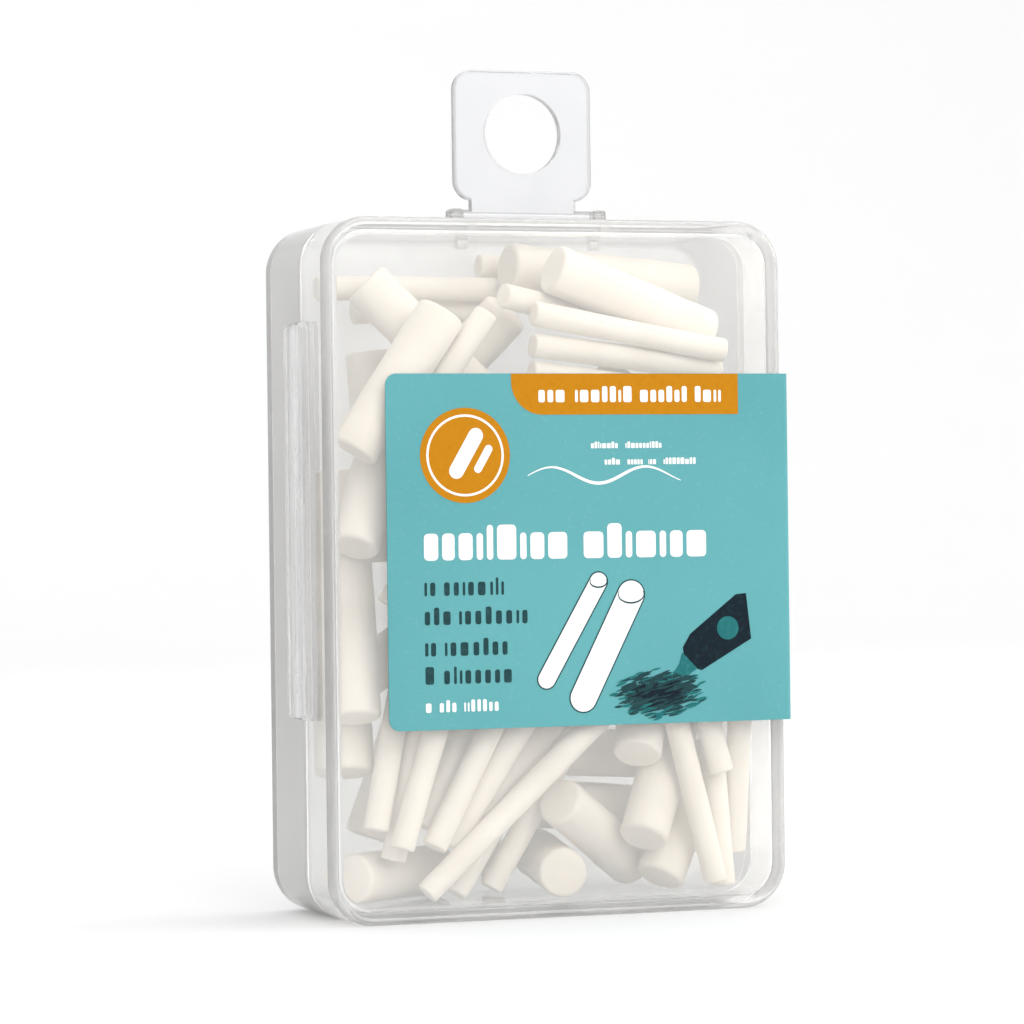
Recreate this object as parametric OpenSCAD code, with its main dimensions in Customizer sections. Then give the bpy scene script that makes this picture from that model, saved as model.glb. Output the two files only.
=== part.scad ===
// Hang-tab box of rubber refills for a powered eraser pen.
// X to the right, Y to the back, Z up; the lid faces -Y. Millimetres.
// The origin is the centre of the bottom face.

/* [Box] */
// Outer width of the closed box
box_w = 47.5; // [30:0.5:90]
// Outer height of the closed box
box_h = 68; // [40:0.5:120]
// Outer radius of the four upright corners
corner_r = 4.5; // [2:0.1:8]
// Wall thickness
wall = 1.2; // [0.8:0.1:2]
// Depth of the base tray, from its rim to its back
base_d = 12.5; // [8:0.1:20]
// Depth of the lid, from its rim to its front
lid_d = 7.4; // [4:0.1:12]
// How far behind the box's middle plane the rim of the base stands, negative is in front
rim_y = -2.5; // [-5:0.1:5]
// Gap between the two rims when shut
rim_gap = 0.1; // [0.05:0.05:0.4]
// Rounding of the outer back edge of the base
base_round = 1; // [0.4:0.1:1.1]
// Rounding of the outer front edge of the lid
lid_round = 0.8; // [0.4:0.1:1.1]
// Rounding of the edge around the inside floor
inner_round = 0.5; // [0.2:0.1:1]

/* [Rim] */
// Thickness of the base's rim outside its step
rim_t = 0.65; // [0.5:0.05:0.9]
// Height of the step inside the base's rim
rim_step = 1.2; // [0.6:0.1:2]
// Thickness of the lid's tongue that sits in the step
tongue_t = 0.5; // [0.3:0.05:0.7]
// Space between the tongue and the rim
tongue_gap = 0.05; // [0.02:0.01:0.1]

/* [Hinge] */
// Bottom of the hinge panel above the box's bottom
hinge_z0 = 19.6; // [5:0.1:30]
// Length of the hinge panel
hinge_len = 38.5; // [20:0.1:60]
// Thickness of each leaf
leaf_t = 0.5; // [0.3:0.05:0.9]
// Width of each leaf
leaf_w = 4.3; // [2:0.1:6]
// Radius of the round web between the leaves
web_r = 0.35; // [0.2:0.05:0.5]
// Clearance of the lid's leaf around the web
web_gap = 0.04; // [0.02:0.01:0.1]

/* [Latch] */
// Length of the latch strip on the side opposite the hinge
latch_len = 33.5; // [15:0.5:50]
// Thickness of the latch strip
latch_t = 0.55; // [0.4:0.05:1]
// How far the strip reaches past the base's rim
latch_reach = 3.5; // [2:0.1:6]
// Radius of the snap ridge on the base
ridge_r = 0.25; // [0.15:0.05:0.4]
// Length of the snap ridge
ridge_len = 20; // [5:1:30]

/* [Hang tab] */
// Middle of the tab along the box's width
tab_x = 0.4; // [-10:0.1:10]
// Middle of the tab along the box's depth
tab_y = 0.5; // [-1:0.1:6]
// Width of the tab plate
tab_w = 14.5; // [10:0.1:25]
// Height of the tab plate
tab_h = 13; // [10:0.1:25]
// Thickness of the tab plate
tab_t = 1; // [0.6:0.1:1.6]
// Corner radius of the tab plate
tab_r = 2; // [1:0.1:4]
// Diameter of the hanging hole
hole_d = 8; // [4:0.1:9]
// Width of the neck under the plate
neck_w = 11; // [6:0.1:14]
// Height of the neck above the pivot
neck_h = 1.5; // [1:0.1:3]
// Chamfer around the tab plate's edge
tab_cut = 0.2; // [0.05:0.05:0.3]
// Width of the bracket over its two ears
bracket_w = 16.2; // [14:0.1:30]
// How far the bracket's middle stands to the right of the tab's
bracket_off = 0.4; // [-2:0.1:2]
// Height of the pivot above the box's top
pivot_h = 0.95; // [0.9:0.05:2]
// Radius of the tab's barrel
barrel_r = 0.6; // [0.5:0.05:1]
// Radius of the tab's end pins
pin_r = 0.3; // [0.2:0.05:0.6]
// Radial clearance of the end pins in the ears
pin_gap = 0.05; // [0.02:0.01:0.1]

/* [Label] */
// Left edge of the label from the box's left side
label_x0 = 6.1; // [2:0.1:20]
// Bottom of the label above the box's bottom
label_z0 = 18.6; // [5:0.1:40]
// Height of the label
label_h = 34.3; // [10:0.1:60]
// Thickness of the label
label_t = 0.1; // [0.05:0.05:0.3]
// Thickness of the glue behind the label, left open
glue_t = 0.02; // [0.01:0.01:0.05]
// Radius of the label's two left corners
label_r = 1.1; // [0.3:0.1:3]

/* [Refills] */
// Diameter of a thick refill
thick_d = 5; // [3:0.1:8]
// Diameter of a thin refill
thin_d = 2.5; // [1.5:0.1:4]
// Rounding of a refill's end edges
end_round = 0.3; // [0.1:0.05:0.6]

/* [Hidden] */
$fn = 64;
out_x = box_w / 2;
in_r = corner_r - wall;
lid_y = rim_y - rim_gap;
front_y = lid_y - lid_d;
pivot_x = -out_x - leaf_t - 0.1;
pivot_z = box_h + pivot_h;
ear_w = 1.1;
ear_h = pivot_h + barrel_r + 0.05;
thick_color = [0.93, 0.91, 0.87];
thin_color = [0.95, 0.93, 0.9];

// Each refill: centre x, y, z, turn in the box's face plane, lean to the back, length
thick_at = [
  [-15.25, -6.25, 52.25, 34, 0, 16.5],
  [-11, -1.25, 56.5, -44, 10, 16],
  [-5.25, 2, 55.25, 38, -29, 12],
  [9.25, 2.75, 63, -85, -7, 21],
  [9.5, -5, 60.25, -70, -7, 18.5],
  [-13.25, 6, 45.25, -5, 1, 21],
  [-16.25, -2.25, 43.75, 24, 22, 18],
  [-19, -1.5, 31.5, 3, 19, 25],
  [-18.5, 2, 26, 4, 19, 25],
  [-10.5, 6, 19, 20, 0, 25],
  [-13.5, 1.5, 4, -88, -37, 15],
  [2.5, 1.5, 4.5, 52, 81, 13],
  [6.5, -1.5, 7.5, -56, -31, 15],
  [3, 3.5, 15.5, -86, -7, 22],
  [12, -1.5, 22.5, 22, 31, 18],
  [13, -3, 13.5, 28, 25, 16],
  [16, -1.5, 9, 31, 17, 15],
  [-8.5, 0, 29.5, 48, -31, 25],
  [19.5, 6, 26.5, 0, 0, 25],
  [12.5, 2.5, 43, -37, 9, 25],
  [3.25, 0, 43.25, 33, -11, 25],
  [10, 0, 33.5, 66, -30, 25],
  [9, 4.5, 9.5, -85, -5, 25]
];
thin_at = [
  [-10, 5, 61.75, 90, 1, 18],
  [-8, 7.25, 59.75, 89, 0, 15],
  [-10, -6, 53.25, 34, -4, 14],
  [5.75, 7.25, 64, -87, -1, 16],
  [3.5, -3.25, 59.25, -80, -16, 16],
  [8.5, -7.25, 57, -80, 0, 20.5],
  [8.5, -6.25, 54.5, -83, -4, 20.5],
  [8.75, -6, 51.75, -83, -3, 21],
  [-10, -5.75, 41.5, 28, -4, 25],
  [-15, -4.5, 21, 13, 6, 25],
  [-13, -4.5, 18, 13, 1, 25],
  [-12, -7, 19, 18, 2, 25],
  [-6.5, -6, 18, 30, 6, 25],
  [-7, -2.5, 20, 25, 6, 25],
  [-3.5, -6, 17.5, 32, -5, 25],
  [2, -4, 19.5, 44, -6, 25],
  [-4, -7.25, 11, 48, 0, 25],
  [-2, -1.5, 12.5, 33, 6, 25],
  [2, -1, 13, 31, 0, 25],
  [14, -7.25, 14.75, -14, -1, 25],
  [14.5, -6.5, 25.5, -15, 3, 25],
  [20.5, -5, 17.5, -1, -11, 25],
  [18, -4.5, 14.5, -3, 2, 25],
  [5.25, 7.25, 48.75, -66, 0, 25],
  [-2.5, 7.25, 14.25, -6, -1, 25]
];

function numbered(kind, i) = str(kind, "_refill_", i < 9 ? "0" : "", i + 1);

// A flat rectangle with round corners, centred
module round_rect(w, h, r) {
  square([w - 2 * r, h], center = true);
  square([w, h - 2 * r], center = true);
  for (sx = [-1, 1], sy = [-1, 1]) translate([sx * (w / 2 - r), sy * (h / 2 - r)]) circle(r);
}

// Section through a tray: flat mouth at 0, rounded far edge at d
module tray_section(w, d, e) {
  translate([-w / 2, 0]) square([w, d - e]);
  translate([-w / 2 + e, 0]) square([w - 2 * e, d]);
  for (s = [-1, 1]) translate([s * (w / 2 - e), d - e]) circle(e);
}

// Solid block with round upright corners and a rounded far edge, its mouth at z = 0
module tray_block(w, h, r, d, e) {
  translate([0, h / 2 - r, 0]) rotate([90, 0, 0]) linear_extrude(h - 2 * r) tray_section(w, d, e);
  translate([-w / 2 + r, 0, 0]) rotate([90, 0, 90]) linear_extrude(w - 2 * r) tray_section(h, d, e);
  for (sx = [-1, 1], sy = [-1, 1]) translate([sx * (w / 2 - r), sy * (h / 2 - r), 0])
    rotate_extrude() union() {
      square([r, d - e]);
      square([r - e, d]);
      translate([r - e, d - e]) circle(e);
    }
}

// Moves a block drawn mouth-down so that its mouth stands at y and it grows to the back or front
module to_back(y) { translate([0, y, box_h / 2]) rotate([-90, 0, 0]) children(); }
module to_front(y) { translate([0, y, box_h / 2]) rotate([90, 0, 0]) children(); }

// Deep half: back wall, four walls and a stepped rim
module base_tray() color([0.86, 0.9, 0.93, 0.35]) difference() {
  to_back(rim_y) tray_block(box_w, box_h, corner_r, base_d, base_round);
  to_back(rim_y) tray_block(box_w - 2 * wall, box_h - 2 * wall, in_r, base_d - wall, inner_round);
  to_back(rim_y - 1) linear_extrude(rim_step + 1)
    round_rect(box_w - 2 * rim_t, box_h - 2 * rim_t, corner_r - rim_t);
  for (s = [-1, 1]) translate([tab_x + bracket_off + s * 7 - 0.55, tab_y - 0.45, box_h - 2])
    cube([1.1, 0.9, 3]);
}

// Shallow half: front window, four walls and the tongue that fits inside the base's rim
module lid() color([0.88, 0.92, 0.94, 0.3]) difference() {
  union() {
    to_front(lid_y) tray_block(box_w, box_h, corner_r, lid_d, lid_round);
    to_back(lid_y - 1) linear_extrude(rim_step + rim_gap + 0.85)
      round_rect(box_w - 2 * (rim_t + tongue_gap), box_h - 2 * (rim_t + tongue_gap),
                 corner_r - rim_t - tongue_gap);
  }
  to_front(lid_y) tray_block(box_w - 2 * wall, box_h - 2 * wall, in_r, lid_d - wall, inner_round);
  to_back(lid_y - 1) linear_extrude(4)
    round_rect(box_w - 2 * wall, box_h - 2 * wall, in_r);
}

// One flat leaf of the hinge panel with rounded free corners, z from hinge_z0
module leaf(y0, y1) {
  translate([pivot_x + 0.1, 0, hinge_z0 + hinge_len / 2]) rotate([0, 90, 0])
    linear_extrude(leaf_t) translate([0, (y0 + y1) / 2]) square([hinge_len, y1 - y0], center = true);
}
module base_leaf() color([0.86, 0.9, 0.93, 0.4]) difference() {
  leaf(rim_y, rim_y + leaf_w);
  translate([pivot_x, rim_y, hinge_z0 - 1]) cylinder(r = web_r, h = hinge_len + 2);
  for (z = [0, hinge_len]) translate([0, rim_y + leaf_w, hinge_z0 + z]) leaf_corner();
}
module lid_leaf() color([0.88, 0.92, 0.94, 0.4]) difference() {
  leaf(lid_y - leaf_w, lid_y);
  translate([pivot_x, rim_y, hinge_z0 - 1]) cylinder(r = web_r + web_gap, h = hinge_len + 2);
  for (z = [0, hinge_len]) translate([0, lid_y - leaf_w, hinge_z0 + z]) leaf_corner();
}
// Cuts a leaf's outer corner round
module leaf_corner() {
  rotate([0, 0, 0]) translate([pivot_x - 1, 0, 0]) rotate([0, 90, 0]) linear_extrude(2.5)
    difference() {
      square([2, 2], center = true);
      for (a = [-1, 1], b = [-1, 1]) translate([a, b]) circle(1);
    }
}

// Round thin line of plastic that the lid turns on
module hinge_web() color([0.85, 0.89, 0.92, 0.5])
  translate([pivot_x, rim_y, hinge_z0 + 0.2]) cylinder(r = web_r, h = hinge_len - 0.4);

// Springy strip on the lid's free side, reaching over the base and grooved for the ridge
module latch_strip() color([0.88, 0.92, 0.94, 0.5])
  translate([0, 0, label_z0 + label_h / 2 - latch_len / 2]) difference() {
    union() {
      translate([out_x, front_y + 1, 0]) cube([latch_t, lid_y - front_y - 1, latch_len]);
      translate([out_x + 0.05, lid_y - 0.5, 0])
        cube([latch_t - 0.05, latch_reach + rim_gap + 0.5, latch_len]);
    }
    translate([out_x, rim_y + latch_reach / 2, -1]) cylinder(r = ridge_r + 0.05, h = latch_len + 2);
  }

// Half-round ridge on the base's side wall that the strip snaps over
module latch_ridge() color([0.86, 0.9, 0.93, 0.5])
  translate([out_x, rim_y + latch_reach / 2, label_z0 + label_h / 2 - ridge_len / 2])
    difference() {
      cylinder(r = ridge_r, h = ridge_len);
      translate([-1, -1, -1]) cube([1, 2, ridge_len + 2]);
    }

// Bracket on the base's top: plate, two ears with pin holes, two hooks through the wall
module tab_bracket() color([0.86, 0.9, 0.93, 0.5]) difference() {
  translate([tab_x + bracket_off, tab_y, 0]) union() {
    translate([-bracket_w / 2, -1.2, box_h]) cube([bracket_w, 2.6, 0.25]);
    for (s = [-1, 1]) {
      translate([s * (bracket_w - ear_w) / 2, 0, box_h]) hull() {
        translate([-ear_w / 2, -1.1, 0]) cube([ear_w, 2.2, ear_h - 0.2]);
        translate([-ear_w / 2 + 0.15, -0.9, 0]) cube([ear_w - 0.3, 1.8, ear_h]);
      }
      translate([s * 7 - 0.5, -0.4, box_h - wall - 1]) cube([1, 0.8, wall + 1.1]);
      translate([s * 7 - 0.5, 0, box_h - wall - 0.4]) rotate([0, 90, 0])
        cylinder(r = 0.4, h = 1);
      translate([s * 7 - 0.5, 0.2, box_h - wall - 0.65]) rotate([0, 90, 0])
        cylinder(r = 0.55, h = 1);
    }
  }
  translate([tab_x - bracket_w, tab_y, pivot_z]) rotate([0, 90, 0])
    cylinder(r = pin_r + pin_gap, h = 2 * bracket_w);
}

// Tab that folds up to hang the box: plate with the hole, neck, barrel and two end pins
module hang_tab() color([0.9, 0.93, 0.95, 0.35]) translate([tab_x, tab_y, pivot_z]) {
  difference() {
    union() {
      hull() for (c = [0, tab_cut])
        translate([0, tab_t / 2 - tab_cut + c, neck_h + tab_h / 2]) rotate([90, 0, 0])
          linear_extrude(tab_t - 2 * tab_cut + 2 * c)
            round_rect(tab_w - 2 * c, tab_h - 2 * c, tab_r - c);
      translate([-neck_w / 2, -tab_t / 2, 0]) cube([neck_w, tab_t, neck_h + 1]);
    }
    translate([0, 1, neck_h + tab_h / 2 + 0.2]) rotate([90, 0, 0]) cylinder(d = hole_d, h = 2);
    translate([-neck_w, 0, 0]) rotate([0, 90, 0]) cylinder(r = barrel_r - 0.02, h = 2 * neck_w);
  }
  translate([bracket_off - bracket_w / 2, 0, 0]) {
    translate([ear_w + 0.1, 0, 0]) rotate([0, 90, 0])
      cylinder(r = barrel_r, h = bracket_w - 2 * ear_w - 0.2);
    translate([0.1, 0, 0]) rotate([0, 90, 0]) cylinder(r = pin_r, h = bracket_w - 0.2);
  }
}

// Thin printed label over the lid's front, round the free edge and along the latch strip
module label() color([0.4, 0.73, 0.75]) {
  side_x = out_x + latch_t + glue_t;
  face_y = front_y - glue_t;
  translate([0, 0, label_z0]) difference() {
    union() {
      translate([-out_x + label_x0, face_y - label_t, 0])
        cube([side_x - 0.5 + out_x - label_x0, label_t, label_h]);
      translate([side_x, face_y + 0.5, 0])
        cube([label_t, rim_y + latch_reach - face_y - 0.5, label_h]);
      difference() {
        translate([side_x - 0.5, face_y + 0.5, 0]) cylinder(r = 0.5 + label_t, h = label_h);
        translate([side_x - 0.5, face_y + 0.5, -1]) cylinder(r = 0.5, h = label_h + 2);
        translate([side_x - 2.5, face_y - 1, -1]) cube([2, 4, label_h + 2]);
        translate([side_x - 0.51, face_y + 0.5, -1]) cube([2, 2, label_h + 2]);
      }
    }
    for (z = [0, label_h]) translate([-out_x + label_x0, face_y + 1, z]) rotate([90, 0, 0])
      linear_extrude(2) difference() {
        square(2 * label_r, center = true);
        for (a = [-1, 1], b = [-1, 1]) translate([a * label_r, b * label_r]) circle(label_r);
      }
  }
}

// Rubber stick with softly rounded end edges, centred, along Z
module stick(d, len) {
  r = d / 2;
  rotate_extrude() union() {
    translate([0, -len / 2 + end_round]) square([r, len - 2 * end_round]);
    translate([0, -len / 2]) square([r - end_round, len]);
    for (s = [-1, 1]) translate([r - end_round, s * (len / 2 - end_round)]) circle(end_round);
  }
}
module placed(p) {
  translate([p[0], p[1], p[2]]) rotate([0, p[3], 0]) rotate([-p[4], 0, 0]) children();
}
module thick_refill(i) color(thick_color) placed(thick_at[i]) stick(thick_d, thick_at[i][5]);
module thin_refill(i) color(thin_color) placed(thin_at[i]) stick(thin_d, thin_at[i][5]);

base_tray();
lid();
base_leaf();
lid_leaf();
hinge_web();
latch_strip();
latch_ridge();
tab_bracket();
hang_tab();
label();
for (i = [0 : len(thick_at) - 1])
  thick_refill(i);
for (i = [0 : len(thin_at) - 1])
  thin_refill(i);
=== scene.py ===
import bpy
import bmesh
import math
import random
import numpy as np
from mathutils import Matrix, Vector


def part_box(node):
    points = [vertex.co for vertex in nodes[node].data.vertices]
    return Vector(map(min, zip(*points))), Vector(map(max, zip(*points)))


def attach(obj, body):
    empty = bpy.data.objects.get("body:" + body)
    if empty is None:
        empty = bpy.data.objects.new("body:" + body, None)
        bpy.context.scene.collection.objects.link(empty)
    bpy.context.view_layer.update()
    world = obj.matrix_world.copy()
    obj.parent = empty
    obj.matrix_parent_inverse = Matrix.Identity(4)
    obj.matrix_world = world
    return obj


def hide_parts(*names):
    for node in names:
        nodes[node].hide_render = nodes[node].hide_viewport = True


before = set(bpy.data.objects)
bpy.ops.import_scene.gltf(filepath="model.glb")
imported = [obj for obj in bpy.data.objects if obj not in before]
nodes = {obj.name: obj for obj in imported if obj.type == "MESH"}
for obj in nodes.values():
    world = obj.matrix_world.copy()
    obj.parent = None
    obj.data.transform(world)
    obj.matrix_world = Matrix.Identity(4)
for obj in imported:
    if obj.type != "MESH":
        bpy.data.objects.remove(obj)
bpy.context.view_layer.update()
mm = 0.001
print("frame loaded:", len(nodes), "nodes")


def deselectAll():
    if bpy.context.object and bpy.context.object.mode != "OBJECT":
        bpy.ops.object.mode_set(mode="OBJECT")
    bpy.ops.object.select_all(action="DESELECT")


def makeActive(obj):
    deselectAll()
    obj.select_set(True)
    bpy.context.view_layer.objects.active = obj


def settle(obj):
    # puts the object's place into its mesh
    makeActive(obj)
    bpy.ops.object.transform_apply(location=True, rotation=True, scale=True)


def applyModifiers(obj):
    makeActive(obj)
    for name in [m.name for m in obj.modifiers]:
        bpy.ops.object.modifier_apply(modifier=name)


def joinAll(objs, name):
    deselectAll()
    for obj in objs:
        obj.select_set(True)
    bpy.context.view_layer.objects.active = objs[0]
    if len(objs) > 1:
        bpy.ops.object.join()
    objs[0].name = name
    objs[0].data.name = name
    return objs[0]


def paint(obj, material):
    obj.data.materials.clear()
    obj.data.materials.append(material)


def smooth(obj, angle):
    makeActive(obj)
    bpy.ops.object.shade_smooth_by_angle(angle=math.radians(angle))


def pickEdges(obj, test):
    bpy.ops.mesh.select_mode(type="EDGE")
    bpy.ops.mesh.select_all(action="DESELECT")
    mesh = bmesh.from_edit_mesh(obj.data)
    for edge in mesh.edges:
        edge.select = bool(test(edge))
    bmesh.update_edit_mesh(obj.data)


def pickFaces(obj, test):
    bpy.ops.mesh.select_mode(type="FACE")
    bpy.ops.mesh.select_all(action="DESELECT")
    mesh = bmesh.from_edit_mesh(obj.data)
    for face in mesh.faces:
        face.select = bool(test(face))
    bmesh.update_edit_mesh(obj.data)


# one shader socket, with the arithmetic that the materials use
class Wire:
    def __init__(self, tree, socket):
        self.tree, self.socket = tree, socket

    def node(self, kind, settings, values, out=0):
        made = self.tree.nodes.new(kind)
        for key, value in settings.items():
            setattr(made, key, value)
        for key, value in values.items():
            if isinstance(value, Wire):
                self.tree.links.new(value.socket, made.inputs[key])
            else:
                made.inputs[key].default_value = value
        return Wire(self.tree, made.outputs[out])

    def sums(self, operation, *terms):
        return self.node("ShaderNodeMath", {"operation": operation}, dict(enumerate(terms)))

    def __add__(self, other):
        return self.sums("ADD", self, other)

    def __mul__(self, other):
        return self.sums("MULTIPLY", self, other)

    def __pow__(self, other):
        return self.sums("POWER", self, other)

    def __rpow__(self, other):
        return self.sums("POWER", other, self)

    __radd__ = __add__
    __rmul__ = __mul__

    def clamped(self, low, high):
        return self.node("ShaderNodeMapRange", {"clamp": True}, {
            "Value": self, "From Min": low, "From Max": high, "To Min": 0.0, "To Max": 1.0})

    def mixed(self, colorA, colorB):
        return self.node("ShaderNodeMix", {"data_type": "RGBA"}, {
            "Factor": self, "A": colorA, "B": colorB}, out=2)


def startMaterial(name):
    material = bpy.data.materials.new(name)
    material.use_nodes = True
    tree = material.node_tree
    shader = tree.nodes["Principled BSDF"]
    place = tree.nodes.new("ShaderNodeTexCoord")
    return material, shader, Wire(tree, place.outputs["Object"])


def noise(place, s):
    # the part of the noise within its span, if it has one, is stretched to run from 0 to 1
    made = place.node("ShaderNodeTexNoise", {}, {
        "Vector": place, "Scale": s["scale"],
        "Detail": s.get("detail", 2.0), "Roughness": s.get("rough", 0.5)})
    return made.clamped(*s["span"]) if "span" in s else made


def plug(shader, values):
    tree = shader.id_data
    for key, value in values.items():
        if isinstance(value, Wire):
            tree.links.new(value.socket, shader.inputs[key])
        else:
            shader.inputs[key].default_value = value


def bump(place, height, distance, strength):
    return place.node("ShaderNodeBump", {}, {
        "Height": height, "Distance": distance, "Strength": strength})


# camera, floor and lights

cameraSet = {
    "azimuth": -19.82,      # degrees round from straight in front, minus is from the left
    "pitch": -0.05,
    "roll": -0.72,
    "distance": 398.2 * mm,
    "height": 39.5 * mm,
    "aside": -1.19 * mm,
    "lens": 140.6,
    "sensor": 36,
    "nearest": 0.01,
}


def makeCamera(s):
    turn, tilt, roll = (math.radians(s[k]) for k in ("azimuth", "pitch", "roll"))
    ahead = Vector((-math.sin(turn) * math.cos(tilt), math.cos(turn) * math.cos(tilt), -math.sin(tilt)))
    right = Vector((math.cos(turn), math.sin(turn), 0))
    up = right.cross(ahead)
    side = math.cos(roll) * right + math.sin(roll) * up
    top = math.cos(roll) * up - math.sin(roll) * right
    place = -s["distance"] * ahead + s["aside"] * Vector((side.x, side.y, 0)) + Vector((0, 0, s["height"]))
    bpy.ops.object.camera_add()
    camera = bpy.context.object
    camera.name = "camera"
    camera.data.sensor_width = s["sensor"]
    camera.data.lens = s["lens"]
    camera.data.clip_start = s["nearest"]
    camera.matrix_world = Matrix((
        (side.x, top.x, -ahead.x, place.x),
        (side.y, top.y, -ahead.y, place.y),
        (side.z, top.z, -ahead.z, place.z),
        (0, 0, 0, 1)))
    bpy.context.scene.camera = camera


stageSet = {
    "width": 4.0, "front": -1.6, "back": 1.2,
    "wall": 1.8,            # height of the wall
    "sweep": 0.5,           # radius of the curve between floor and wall
    "tone": (0.89, 0.89, 0.89, 1),
    "grain": {"scale": 30.0, "detail": 3.0},
    "fade": 0.985,          # tone of the darker grain against the rest
    "rough": 0.85,
}


def makeStage(s):
    # a floor that curves up into a wall behind
    deselectAll()
    bpy.ops.mesh.primitive_plane_add(size=1, location=(0, (s["front"] + s["back"]) / 2, 0))
    floor = bpy.context.object
    floor.name = "studioFloor"
    floor.scale = (s["width"], s["back"] - s["front"], 1)
    settle(floor)
    bpy.ops.object.mode_set(mode="EDIT")
    pickEdges(floor, lambda e: all(v.co.y > s["back"] - 0.01 for v in e.verts))
    bpy.ops.mesh.extrude_region_move(TRANSFORM_OT_translate={"value": (0, 0, s["wall"])})
    pickEdges(floor, lambda e: all(v.co.y > s["back"] - 0.01 and v.co.z < 0.01 for v in e.verts))
    bpy.ops.mesh.bevel(offset=s["sweep"], segments=24, affect="EDGES")
    bpy.ops.object.mode_set(mode="OBJECT")
    smooth(floor, 60)
    material, shader, place = startMaterial("studioCard")
    grain = noise(place, s["grain"])
    plug(shader, {
        "Base Color": grain.mixed(s["tone"], tuple(s["fade"] * c for c in s["tone"][:3]) + (1,)),
        "Roughness": s["rough"]})
    paint(floor, material)


lightSet = {
    "bright": 1.03, "dim": 0.69,    # the sky's strength towards its bright side and away from it
    "towards": (0.1, -0.7, 0.7),
    "aim": (0, 0, 0.035),
    "bounces": 20,                  # light runs far along the inside of clear walls
    "lamps": {
        "keyLamp": {"at": (0.16, -0.95, 0.5), "size": 0.5, "watts": 2.9},
        "topLamp": {"at": (0.15, 0.1, 0.9), "size": 0.6, "watts": 1.3},
        "sideLamp": {"at": (0.85, -0.1, 0.42), "size": 0.45, "watts": 1.9},
    },
}


def makeLights(s):
    world = bpy.data.worlds.new("studioSky")
    bpy.context.scene.world = world
    world.use_nodes = True
    tree = world.node_tree
    place = Wire(tree, tree.nodes.new("ShaderNodeTexCoord").outputs["Generated"])
    facing = place.node(
        "ShaderNodeVectorMath", {"operation": "DOT_PRODUCT"}, {0: place, 1: s["towards"]}, out="Value")
    strength = (facing * 0.5 + 0.5) * (s["bright"] - s["dim"]) + s["dim"]
    tree.links.new(strength.socket, tree.nodes["Background"].inputs["Strength"])
    tree.nodes["Background"].inputs["Color"].default_value = (1, 1, 1, 1)
    aim = Vector(s["aim"])
    for name, lamp in s["lamps"].items():
        bpy.ops.object.light_add(type="AREA", location=lamp["at"])
        light = bpy.context.object
        light.name = name
        light.data.size = lamp["size"]
        light.data.energy = lamp["watts"]
        light.rotation_euler = (aim - Vector(lamp["at"])).to_track_quat("-Z", "Y").to_euler()


bpy.context.scene.view_settings.view_transform = "Standard"
bpy.context.scene.cycles.max_bounces = lightSet["bounces"]
bpy.context.scene.cycles.transmission_bounces = lightSet["bounces"]
makeCamera(cameraSet)
makeStage(stageSet)
makeLights(lightSet)
print("camera, floor and lights ready")


# materials

plasticSet = {
    # sideShade is a painted shade: sides and edges, the faces turned away from the front, get a greyer,
    # darker tone than the flat faces
    "clearBase": {
        "tint": (0.755, 0.751, 0.741, 1), "haze": (0.69, 0.686, 0.675, 1), "sideShade": (0.665, 0.662, 0.655, 1),
        "clear": 0.79, "rough": 0.09},
    "clearLid": {
        "tint": (0.975, 0.972, 0.965, 1), "haze": (0.92, 0.916, 0.906, 1),
        "clear": 0.84, "rough": 0.04},
    "clearHinge": {
        "tint": (0.88, 0.878, 0.872, 1), "haze": (0.82, 0.817, 0.81, 1),
        "clear": 0.80, "rough": 0.07},
    "clearTab": {
        "tint": (0.862, 0.865, 0.878, 1), "haze": (0.82, 0.823, 0.835, 1), "sideShade": (0.58, 0.582, 0.59, 1),
        "clear": 0.76, "rough": 0.04},
}
plasticIor = 1.49
moulding = {
    "cloud": {"scale": 140.0, "detail": 4.0, "span": (0.45, 0.75)},     # patches of milkiness
    "flow": {"scale": 55.0},
    "scuff": {"scale": 1400.0, "detail": 5.0, "rough": 0.7, "span": (0.6, 0.85)},
    "scuffRough": 0.12, "scuffHeight": 0.02,
    "flat": 0.95, "side": 0.4,      # squared share of the normal along Y, on a face and on a side
    "height": 0.0002, "strength": 0.12,
}


def makePlastic(name, s, grain):
    # clear moulded plastic: faint flow ripples, hairline scuffs and a little milkiness, and, where the finish
    # has a side shade, painted shade darkening the faces turned away from the front
    material, shader, place = startMaterial(name)
    cloud, flow, scuff = (noise(place, grain[k]) for k in ("cloud", "flow", "scuff"))
    tone = cloud.mixed(s["tint"], s["haze"])
    if "sideShade" in s:
        facing = place.node("ShaderNodeTexCoord", {}, {}, out="Normal")
        frontal = place.node("ShaderNodeSeparateXYZ", {}, {"Vector": facing}, out="Y")
        # painted shade: the less a face's normal points along Y, the more its tone turns to the darker side
        # shade
        tone = (frontal * frontal).clamped(grain["flat"], grain["side"]).mixed(tone, s["sideShade"])
    relief = flow + scuff * grain["scuffHeight"]
    plug(shader, {
        "Base Color": tone,
        "Roughness": scuff * grain["scuffRough"] + s["rough"],
        "Transmission Weight": s["clear"],
        "IOR": plasticIor,
        "Normal": bump(place, relief, grain["height"], grain["strength"])})
    return material


milkySet = {
    "milkyStrip": {
        "tone": (0.74, 0.745, 0.755, 1), "pale": (0.86, 0.865, 0.875, 1),
        "face": 0.25, "edge": 0.8,      # how solid it looks head on and edge on
        "blend": 0.5, "curve": 2.0, "haze": 0.12,
        "cloud": {"scale": 140.0, "detail": 4.0, "span": (0.4, 0.75)},
        "rough": 0.1, "height": 0.0002, "strength": 0.2},
}


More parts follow.
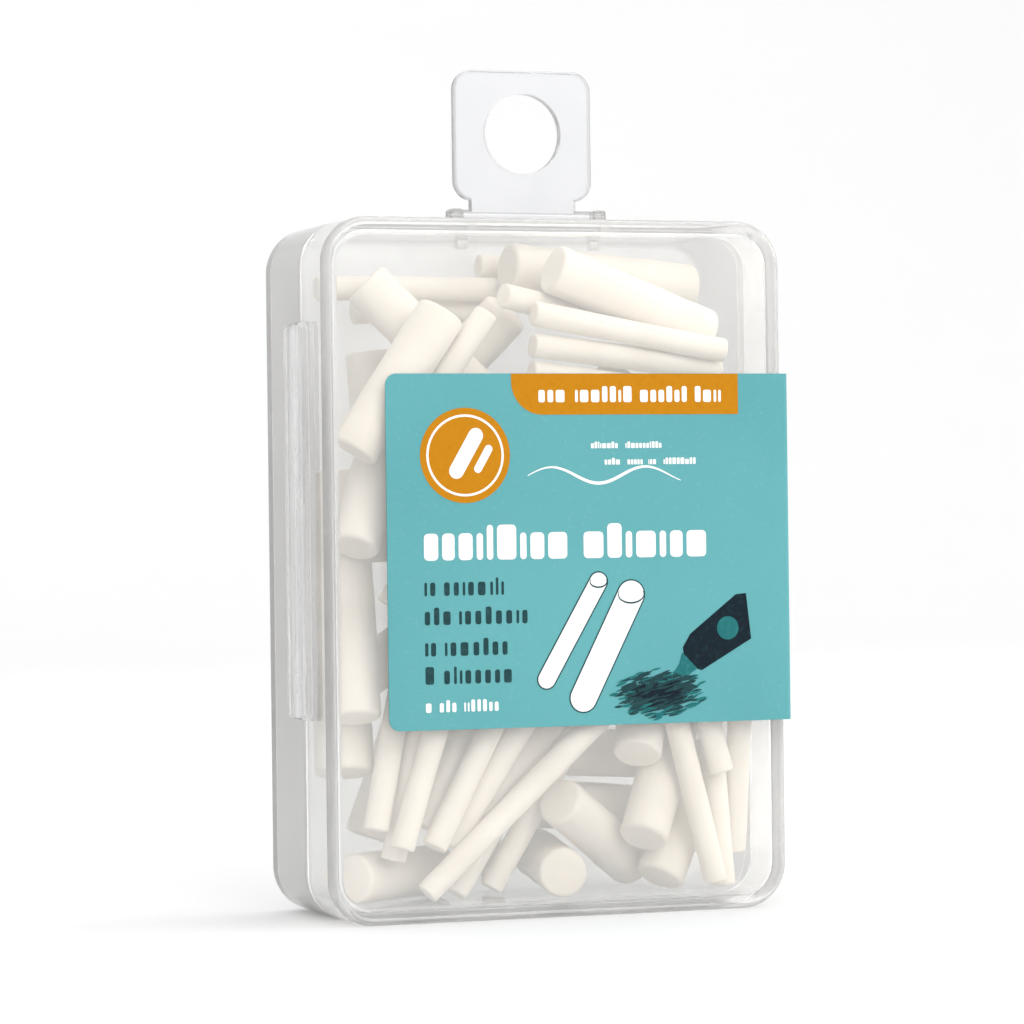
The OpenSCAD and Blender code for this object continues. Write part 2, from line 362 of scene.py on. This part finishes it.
def makeMilky(name, s):
    # thin strips of the same plastic lying against a wall, which scatter the light between the two
    material, shader, place = startMaterial(name)
    slant = place.node("ShaderNodeLayerWeight", {}, {"Blend": s["blend"]}, out="Facing")
    cloud = noise(place, s["cloud"])
    plug(shader, {
        "Base Color": cloud.mixed(s["tone"], s["pale"]),
        "Roughness": cloud * s["rough"] + s["rough"],
        "Alpha": (slant ** s["curve"]) * (s["edge"] - s["face"]) + s["face"] + cloud * s["haze"],
        "IOR": plasticIor,
        "Normal": bump(place, cloud, s["height"], s["strength"])})
    material.surface_render_method = "BLENDED"
    return material


rubberSet = {
    "thickRubber": {"pale": (0.855, 0.795, 0.70, 1), "warm": (0.80, 0.72, 0.605, 1), "grain": 1.0},
    "thinRubber": {"pale": (0.87, 0.81, 0.715, 1), "warm": (0.82, 0.74, 0.62, 1), "grain": 0.8},
}
rubberGrain = {
    "mottle": {"scale": 260.0, "detail": 4.0, "rough": 0.6, "span": (0.35, 0.7)},
    "broad": {"scale": 60.0, "span": (0.4, 0.65)},
    "pits": {"scale": 2600.0, "detail": 4.0, "rough": 0.65},
    "dust": {"scale": 900.0, "detail": 5.0, "rough": 0.7, "span": (0.6, 0.85)},
    "mottleWarm": 0.45, "broadWarm": 0.4,       # how far each turns the tone to the warm one
    "pitsHeight": 0.35, "mottleHeight": 0.65,
    "dustTone": (0.95, 0.93, 0.89, 1), "dustShare": 0.35,
    "rough": 0.68, "roughSpread": 0.12, "shine": 0.35, "sheen": 0.08,
    "glow": 0.12, "glowReach": (0.0012, 0.0009, 0.0006),
    "height": 0.00006, "strength": 0.55,
}


def makeRubber(name, s, grain):
    # soft dusty eraser rubber with faint mottling and tiny pits
    material, shader, place = startMaterial(name)
    mottle, broad, pits, dust = (noise(place, grain[k]) for k in ("mottle", "broad", "pits", "dust"))
    tone = (mottle * grain["mottleWarm"] + broad * grain["broadWarm"]).mixed(s["pale"], s["warm"])
    dusty = (dust * grain["dustShare"]).mixed(tone, grain["dustTone"])
    relief = pits * grain["pitsHeight"] + mottle * grain["mottleHeight"]
    plug(shader, {
        "Base Color": dusty,
        "Roughness": mottle * grain["roughSpread"] + grain["rough"],
        "Subsurface Weight": grain["glow"],
        "Subsurface Radius": grain["glowReach"],
        "Subsurface Scale": 1.0,
        "Specular IOR Level": grain["shine"],
        "Sheen Weight": grain["sheen"],
        "Normal": bump(place, relief, grain["height"] * s["grain"], grain["strength"])})
    return material


paperSet = {
    "tone": (0.118, 0.385, 0.405, 1), "shade": (0.102, 0.352, 0.376, 1), "fleck": (0.185, 0.46, 0.475, 1),
    "grain": {"scale": 2200.0, "detail": 4.0, "rough": 0.7},
    "fibre": {"scale": 700.0, "detail": 5.0, "rough": 0.65},
    "broad": {"scale": 45.0, "span": (0.35, 0.7)},
    "fleckSpan": (0.55, 0.78), "fleckShare": 0.5,
    "grainHeight": 0.5, "fibreHeight": 0.5,
    "rough": 0.45, "roughSpread": 0.2, "shine": 0.2,
    "height": 0.00003, "strength": 0.5,
}


def makePaper(name, s):
    # coated label paper with a fine printed grain
    material, shader, place = startMaterial(name)
    grain, fibre, broad = (noise(place, s[k]) for k in ("grain", "fibre", "broad"))
    tone = broad.mixed(s["tone"], s["shade"])
    speckled = (grain.clamped(*s["fleckSpan"]) * s["fleckShare"]).mixed(tone, s["fleck"])
    relief = grain * s["grainHeight"] + fibre * s["fibreHeight"]
    plug(shader, {
        "Base Color": speckled,
        "Roughness": fibre * s["roughSpread"] + s["rough"],
        "Specular IOR Level": s["shine"],
        "Normal": bump(place, relief, s["height"], s["strength"])})
    return material


inkSet = {
    "whiteInk": {"tone": (0.88, 0.89, 0.88, 1), "worn": (0.70, 0.78, 0.78, 1)},
    "orangeInk": {"tone": (0.530, 0.212, 0.002, 1), "worn": (0.46, 0.178, 0.001, 1)},
    "deepInk": {"tone": (0.014, 0.052, 0.058, 1), "worn": (0.030, 0.095, 0.104, 1)},
    "nightInk": {"tone": (0.004, 0.012, 0.020, 1), "worn": (0.010, 0.040, 0.050, 1)},
    "seaInk": {"tone": (0.016, 0.150, 0.155, 1), "worn": (0.030, 0.215, 0.22, 1)},
}
inkGrain = {
    "grain": {"scale": 1800.0, "detail": 4.0, "rough": 0.7},
    "wornSpan": (0.5, 0.8),
    "rough": 0.35, "roughSpread": 0.25, "shine": 0.12,
    "height": 0.00002, "strength": 0.4,
}


def makeInk(name, s, coat):
    # printing ink, a little worn where the paper's grain stands up
    material, shader, place = startMaterial(name)
    grain = noise(place, coat["grain"])
    plug(shader, {
        "Base Color": grain.clamped(*coat["wornSpan"]).mixed(s["tone"], s["worn"]),
        "Roughness": grain * coat["roughSpread"] + coat["rough"],
        "Specular IOR Level": coat["shine"],
        "Normal": bump(place, grain, coat["height"], coat["strength"])})
    return material


finishes = {}
for name, s in plasticSet.items():
    finishes[name] = makePlastic(name, s, moulding)
for name, s in milkySet.items():
    finishes[name] = makeMilky(name, s)
for name, s in rubberSet.items():
    finishes[name] = makeRubber(name, s, rubberGrain)
for name, s in inkSet.items():
    finishes[name] = makeInk(name, s, inkGrain)
finishes["labelPaper"] = makePaper("labelPaper", paperSet)
print("finishes:", ", ".join(finishes))

shellFinish = {
    "clearBase": ("base_tray", "tab_bracket"),
    "clearLid": ("lid",),
    "clearTab": ("hang_tab",),
    "milkyStrip": ("hinge_web", "latch_ridge"),
    "labelPaper": ("label",),
}
for finish, names in shellFinish.items():
    for name in names:
        paint(nodes[name], finishes[finish])
        nodes[name].visible_shadow = finish == "labelPaper"     # clear plastic lets the lamps through


# hinge leaves and latch strip

stripSet = {
    "gap": 0.03 * mm,           # air between a strip and the wall that it is moulded on
    "clearOfWeb": 0.45 * mm,    # how far a leaf ends before the hinge's axis
    "corner": 0.9 * mm,
    "edge": 0.13 * mm,
    "border": 0.55 * mm,        # width of the frame around the sunk middle
    "sunk": 0.07 * mm,
    "near": 0.01 * mm,
    "rounded": 0.35,            # share of the corner's radius within which an edge is rounded off
}
strips = {
    # out is the side along X that it faces, free the side along Y where its corners are round
    "base_leaf": {"out": -1, "free": 1, "body": "base", "slot": "clear_base"},
    "lid_leaf": {"out": -1, "free": -1, "body": "lid", "slot": "clear_lid"},
    "latch_strip": {"out": 1, "free": 1, "body": "lid", "slot": "clear_lid"},
}


def makeStrip(name, strip, s):
    low, high = (Vector(corner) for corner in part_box(name))
    out, free = strip["out"], strip["free"]
    if out < 0:
        high.x -= s["gap"]
    else:
        low.x += s["gap"]
    if "leaf" in name and free > 0:
        low.y += s["clearOfWeb"]
    elif "leaf" in name:
        high.y -= s["clearOfWeb"]
    deselectAll()
    bpy.ops.mesh.primitive_cube_add(size=1, location=(low + high) / 2, scale=high - low)
    piece = bpy.context.object
    piece.name = piece.data.name = name + "_moulded"
    settle(piece)
    middle = (low + high) / 2
    bpy.ops.object.mode_set(mode="EDIT")
    pickEdges(piece, lambda e: all((v.co.y - middle.y) * free > 0 for v in e.verts)
              and abs(e.verts[0].co.x - e.verts[1].co.x) > s["edge"])
    bpy.ops.mesh.bevel(offset=s["corner"], segments=6, affect="EDGES")
    pickFaces(piece, lambda f: f.normal.x * out > 0.9)
    bpy.ops.mesh.inset(thickness=s["border"])
    bpy.ops.mesh.inset(thickness=s["edge"], depth=-s["sunk"])
    rim = high.x if out > 0 else low.x

    def nearEdge(co):
        gaps = (co.y - low.y, high.y - co.y, co.z - low.z, high.z - co.z)
        return min(abs(gap) for gap in gaps) < s["corner"] * s["rounded"]

    pickEdges(piece, lambda e: all(abs(v.co.x - rim) < s["near"] and nearEdge(v.co) for v in e.verts)
              and any(f.normal.x * out < 0.5 for f in e.link_faces))
    bpy.ops.mesh.bevel(offset=s["edge"], segments=3, affect="EDGES")
    bpy.ops.object.mode_set(mode="OBJECT")
    smooth(piece, 40)
    paint(piece, finishes["clearHinge"])
    piece.visible_shadow = False
    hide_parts(name)
    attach(piece, strip["body"])


for name, strip in strips.items():
    makeStrip(name, strip, stripSet)
print("strips moulded:", ", ".join(strips))


# refill sticks

stickSet = {
    "around": 40,               # sides of the cylinder, and cuts along it
    "along": 9,
    "rounding": {"thick": 0.5 * mm, "thin": 0.26 * mm},
    "dent": {"thick": 0.24 * mm, "thin": 0.14 * mm},
    "sway": {"thick": 0.25 * mm, "thin": 0.55 * mm},
    "slim": 0.985,              # share of the CAD radius, so that the dents stay inside it
    "level": 0.62,              # the tone of the clouds that leaves the surface where it is
    "ring": 0.28,               # width of each ring on an end, as a share of the radius
    "apart": 0.07,              # step along its own axis, so that no two sticks get the same dents
    "clouds": 6 * mm,
    "swayClouds": 22 * mm,
}


def stickFrame(node):
    # centre, length, radius and a turned frame of a stick, read from its CAD node
    points = np.array([v.co for v in node.data.vertices])
    low, high = points.min(0), points.max(0)
    centre = (low + high) / 2
    spread = (points - centre).T @ (points - centre)
    values, vectors = np.linalg.eigh(spread)
    axis = Vector(vectors[:, 2]) * (1 if vectors[2, 2] > 0 else -1)
    along = (points - centre) @ np.array(axis)
    length = along.max() - along.min()
    radius = np.linalg.norm((points - centre) - np.outer(along, np.array(axis)), axis=1).max()
    across = axis.cross(Vector((0, 1, 0))) if abs(axis.y) < 0.99 else Vector((1, 0, 0))
    across.normalize()
    third = axis.cross(across)
    turned = Matrix((
        (across.x, third.x, axis.x, centre[0]),
        (across.y, third.y, axis.y, centre[1]),
        (across.z, third.z, axis.z, centre[2]),
        (0, 0, 0, 1)))
    return length, radius, turned


def clouds(name, size, depth):
    texture = bpy.data.textures.new(name, type="CLOUDS")
    texture.noise_scale = size
    texture.noise_depth = depth
    return texture


dentClouds = clouds("dentClouds", stickSet["clouds"], 2)
swayClouds = clouds("swayClouds", stickSet["swayClouds"], 0)


def makeStick(node, kind, number, s):
    length, radius, turned = stickFrame(node)
    apart = number * s["apart"]
    deselectAll()
    bpy.ops.mesh.primitive_cylinder_add(
        vertices=s["around"], radius=radius * s["slim"], depth=length, location=(0, 0, apart))
    stick = bpy.context.object
    stick.name = node.name + "_stick"
    stick.data.name = stick.name
    settle(stick)
    bpy.ops.object.mode_set(mode="EDIT")
    for step in range(1, s["along"] + 1):
        bpy.ops.mesh.select_all(action="SELECT")
        level = apart - length / 2 + length * step / (s["along"] + 1)
        bpy.ops.mesh.bisect(plane_co=(0, 0, level), plane_no=(0, 0, 1))
    pickFaces(stick, lambda f: abs(f.normal.z) > 0.9)
    bpy.ops.mesh.region_to_loop()
    bpy.ops.mesh.bevel(offset=s["rounding"][kind], segments=5, affect="EDGES", profile=0.5)
    pickFaces(stick, lambda f: abs(f.normal.z) > 0.98 and len(f.verts) > 8)
    for ring in range(2):
        bpy.ops.mesh.inset(thickness=radius * s["ring"])
    bpy.ops.object.mode_set(mode="OBJECT")
    sway = stick.modifiers.new("sway", "DISPLACE")
    sway.texture, sway.direction, sway.strength = swayClouds, "X", s["sway"][kind]
    dent = stick.modifiers.new("dent", "DISPLACE")
    dent.texture, dent.strength = dentClouds, s["dent"][kind]
    dent.mid_level = s["level"]
    applyModifiers(stick)
    stick.data.transform(turned @ Matrix.Translation((0, 0, -apart)))
    paint(stick, finishes[kind + "Rubber"])
    smooth(stick, 50)
    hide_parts(node.name)
    "refill_" + kind
    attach(stick, "base")


refillNodes = sorted(name for name in nodes if "_refill_" in name)
for number, name in enumerate(refillNodes):
    makeStick(nodes[name], name.split("_")[0], number, stickSet)
print("sticks made:", len(refillNodes))


# print on the label

labelLow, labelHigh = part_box("label")
printSet = {
    # millimetres from the label's lower left corner, apart from the ink's thickness
    "ink": 0.012 * mm,          # thickness of one layer
    "bleed": 0.02,              # the band stops this far short of the label's top
    "band": {"left": 12.8, "right": 36.6, "low": 30.3, "round": 3.2},
    "badge": {
        "x": 8.0, "z": 26.4, "radius": 4.6,
        "ring": (0.86, 0.81),       # the ring's outer and inner radius, as shares of the badge's
        "ringParts": 24,
        "marks": (
            {"top": (1.1, 1.9), "foot": (-0.9, -1.5), "radius": 0.75},
            {"top": (2.4, 0.6), "foot": (1.3, -1.3), "radius": 0.4})},
    # the blocks that stand for letters, as shares of their line's height
    "gap": 0.17,
    "wides": (0.28, 0.55, 0.62, 0.62, 0.85),
    "talls": (1, 1, 1, 1.3),
    "corner": 0.16,
    "heading": {"z": 16.3, "height": 2.6, "words": ((3.7, 18.4), (20.1, 33.0))},
    "bandText": {"z": 31.5, "height": 1.2, "words": ((15.6, 18.4), (19.4, 25.4), (26.2, 31.2), (32.0, 34.8))},
    "smallText": (
        {"z": 27.0, "height": 0.5, "words": ((21.0, 23.8), (24.6, 28.4))},
        {"z": 25.4, "height": 0.5, "words": ((22.4, 24.0), (24.8, 26.4), (27.0, 27.8), (28.6, 32.0))}),
    "sizeText": (
        {"z": 12.9, "height": 1.3, "words": ((3.7, 5.0), (5.7, 11.9))},
        {"z": 10.1, "height": 1.3, "words": ((3.7, 6.6), (7.2, 14.4))},
        {"z": 7.1, "height": 1.3, "words": ((3.7, 5.0), (5.7, 12.3))},
        {"z": 4.4, "height": 1.3, "words": ((3.7, 4.9), (5.6, 12.8))}),
    "footText": {"z": 1.7, "height": 0.9, "words": ((3.7, 4.4), (5.1, 6.9), (7.6, 11.2))},
    "drawnSticks": (
        {"top": (21.6, 14.0), "foot": (16.1, 4.6), "radius": 0.88},
        {"top": (25.0, 12.7), "foot": (19.9, 2.7), "radius": 1.35}),
    "outline": 0.13,
    "lip": {"flat": 0.62, "width": 0.16},
    "wave": {"x": 14.4, "z": 24.4, "step": 0.5, "rise": 0.8, "turn": 0.32, "points": 33, "width": 0.32},
    "nozzle": ((36.1, 12.5), (37.2, 12.6), (37.7, 8.1), (32.4, 5.1), (31.4, 5.4), (30.5, 6.5),
               (30.4, 7.4), (31.2, 8.7)),
    "window": {"x": 35.2, "z": 9.2, "radius": 1.15},
    "tip": ((30.3, 6.9), (31.9, 5.3), (30.6, 4.4), (29.2, 4.7), (30.0, 5.8)),
    "smudge": {
        "x": 27.9, "z": 2.9, "reach": 4.9, "rise": 2.5, "strokes": 520,
        "lowest": 0.12,             # no stroke comes nearer to the label's lower edge
        "lift": 0.00008,            # each stroke lies this much above the last
        "scatter": (0.44, 0.45),    # along and across, as shares of reach and rise
        "half": (0.4, 1.1),         # half a stroke's length: the least, and what chance adds to it
        "shorter": 1.15,            # less the distance from the middle, it scales what chance adds
        "slope": (0.12, 0.3),       # the least, and what chance adds, as for the width
        "width": (0.12, 0.2),
        "night": (0.95, 1.5),       # share of each ink in the middle, and its fall outwards
        "deep": (1.5, 1.1)},
}


def inkShape(outline, layer, level=0):
    # a flat shape of ink standing on the label's front, from its outline
    deselectAll()
    bpy.ops.mesh.primitive_circle_add(vertices=len(outline), fill_type="NGON")
    shape = bpy.context.object
    front = labelLow.y - layer * printSet["ink"]
    for vertex, (x, z) in zip(shape.data.vertices, outline):
        vertex.co = (labelLow.x + x * mm, front - level * mm, labelLow.z + z * mm)
    bpy.ops.object.mode_set(mode="EDIT")
    bpy.ops.mesh.select_all(action="SELECT")
    bpy.ops.mesh.extrude_region_move(TRANSFORM_OT_translate={"value": (0, -printSet["ink"], 0)})
    bpy.ops.mesh.select_all(action="SELECT")
    bpy.ops.mesh.normals_make_consistent(inside=False)
    bpy.ops.object.mode_set(mode="OBJECT")
    return shape


def arc(x, z, radius, start, stop, steps):
    turn = [math.radians(start + (stop - start) * i / steps) for i in range(steps + 1)]
    return [(x + radius * math.cos(a), z + radius * math.sin(a)) for a in turn]


def disc(x, z, radius, steps=48):
    return arc(x, z, radius, 0, 360, steps)[:-1]


def capsule(top, foot, radius):
    lean = math.degrees(math.atan2(top[1] - foot[1], top[0] - foot[0]))
    return (arc(top[0], top[1], radius, lean - 90, lean + 90, 14)
            + arc(foot[0], foot[1], radius, lean + 90, lean + 270, 14))


def block(x, z, wide, high, corner):
    c = min(corner, wide / 2.01, high / 2.01)
    return (arc(x + wide - c, z + c, c, -90, 0, 3) + arc(x + wide - c, z + high - c, c, 0, 90, 3)
            + arc(x + c, z + high - c, c, 90, 180, 3) + arc(x + c, z + c, c, 180, 270, 3))


def ribbon(line, width):
    # outline of a thin drawn line that tapers to both ends
    left, right = [], []
    last = len(line) - 1
    for i, (x, z) in enumerate(line):
        a, b = line[max(i - 1, 0)], line[min(i + 1, last)]
        dx, dz = b[0] - a[0], b[1] - a[1]
        size = math.hypot(dx, dz)
        half = width / 2 * (0.25 + 0.75 * math.sin(math.pi * i / last))
        left.append((x - dz / size * half, z + dx / size * half))
        right.append((x + dz / size * half, z - dx / size * half))
    return left + right[::-1]


def finishInk(shapes, name, ink):
    piece = joinAll(shapes, name)
    paint(piece, finishes[ink])
    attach(piece, "lid")


dice = random.Random(7)


def greek(rows, name, ink, layer, weight=1.0):
    # plain blocks where words would be: they stand for print and say nothing
    gap, corner = printSet["gap"], printSet["corner"]
    shapes = []
    for row in rows:
        tall = row["height"]
        for left, right in row["words"]:
            widths = []
            while sum(widths) + gap * len(widths) < (right - left) / tall:
                widths.append(dice.choice(printSet["wides"]))
            fit = (right - left) / (sum(widths) + gap * (len(widths) - 1))
            x = left
            for wide in widths:
                up = tall * dice.choice(printSet["talls"])
                shapes.append(inkShape(block(x, row["z"], wide * fit * weight, up, tall * corner), layer))
                x += (wide + gap) * fit
    finishInk(shapes, name, ink)


s = printSet
bandTop = (labelHigh.z - labelLow.z) / mm - s["bleed"]
band = s["band"]
finishInk([inkShape(
    [(band["right"], band["low"]), (band["right"], bandTop), (band["left"], bandTop)]
    + arc(band["left"] + band["round"], band["low"] + band["round"], band["round"], 180, 270, 12),
    1)], "label_band", "orangeInk")
badge = s["badge"]
finishInk([inkShape(disc(badge["x"], badge["z"], badge["radius"]), 1)], "label_badge", "orangeInk")
marks = []
outside, inside = (badge["radius"] * share for share in badge["ring"])
step = 360 / badge["ringParts"]
for i in range(badge["ringParts"]):
    outer = arc(badge["x"], badge["z"], outside, i * step, (i + 1) * step, 2)
    inner = arc(badge["x"], badge["z"], inside, (i + 1) * step, i * step, 2)
    marks.append(inkShape(outer + inner, 2))
for mark in badge["marks"]:
    ends = [(badge["x"] + x, badge["z"] + z) for x, z in (mark["top"], mark["foot"])]
    marks.append(inkShape(capsule(*ends, mark["radius"]), 2))
finishInk(marks, "label_badge_mark", "whiteInk")
greek([s["heading"]], "label_heading", "whiteInk", 1)
greek([s["bandText"]], "label_band_words", "whiteInk", 2, 0.9)
greek(s["smallText"], "label_small_words", "whiteInk", 1)
greek(s["sizeText"], "label_size_lines", "deepInk", 1, 0.72)
greek([s["footText"]], "label_foot_line", "whiteInk", 1, 0.8)
wave = s["wave"]
waveLine = [(wave["x"] + i * wave["step"], wave["z"] + wave["rise"] * math.sin(i * wave["turn"]))
            for i in range(wave["points"])]
finishInk([inkShape(ribbon(waveLine, wave["width"]), 1)], "label_wave", "whiteInk")

rims, bodies, lips = [], [], []
for drawn in s["drawnSticks"]:
    top, foot, radius = drawn["top"], drawn["foot"], drawn["radius"]
    rims.append(inkShape(capsule(top, foot, radius + s["outline"]), 1))
    bodies.append(inkShape(capsule(top, foot, radius), 2))
    lipLine = [(x, top[1] + (z - top[1]) * s["lip"]["flat"]) for x, z in arc(*top, radius, -205, 25, 16)]
    lips.append(inkShape(ribbon(lipLine, s["lip"]["width"]), 3))
finishInk(rims + lips, "label_drawn_outlines", "deepInk")
finishInk(bodies, "label_drawn_sticks", "whiteInk")
finishInk([inkShape(s["nozzle"], 1)], "label_nozzle", "nightInk")
finishInk([inkShape(disc(s["window"]["x"], s["window"]["z"], s["window"]["radius"], 32), 2),
           inkShape(s["tip"], 2)], "label_nozzle_window", "seaInk")

smudge = s["smudge"]
(least, more), (slope, steeper), (thin, wider) = (smudge[k] for k in ("half", "slope", "width"))
(night, nightFall), (deep, deepFall) = smudge["night"], smudge["deep"]
strokes = {"nightInk": [], "deepInk": [], "seaInk": []}
for i in range(smudge["strokes"]):
    along, rise = (dice.gauss(0, scatter) for scatter in smudge["scatter"])
    far = math.hypot(along, rise)
    if far > 1:
        continue
    x = smudge["x"] + along * smudge["reach"]
    z = smudge["z"] + rise * smudge["rise"]
    reach = least + more * dice.random() * (smudge["shorter"] - far)
    tilt = slope + steeper * dice.random()
    line = [(x + reach * t, max(z + reach * tilt * t, smudge["lowest"])) for t in (-1, -0.5, 0, 0.5, 1)]
    chance = dice.random()      # the darkest ink lies near the middle
    isNight, isDeep = chance < night - far * nightFall, chance < deep - far * deepFall
    ink = "nightInk" if isNight else "deepInk" if isDeep else "seaInk"
    strokes[ink].append(inkShape(ribbon(line, thin + wider * dice.random()), 1, smudge["lift"] * i))
for ink, shapes in strokes.items():
    finishInk(shapes, "label_smudge_" + ink, ink)
print("label printed")
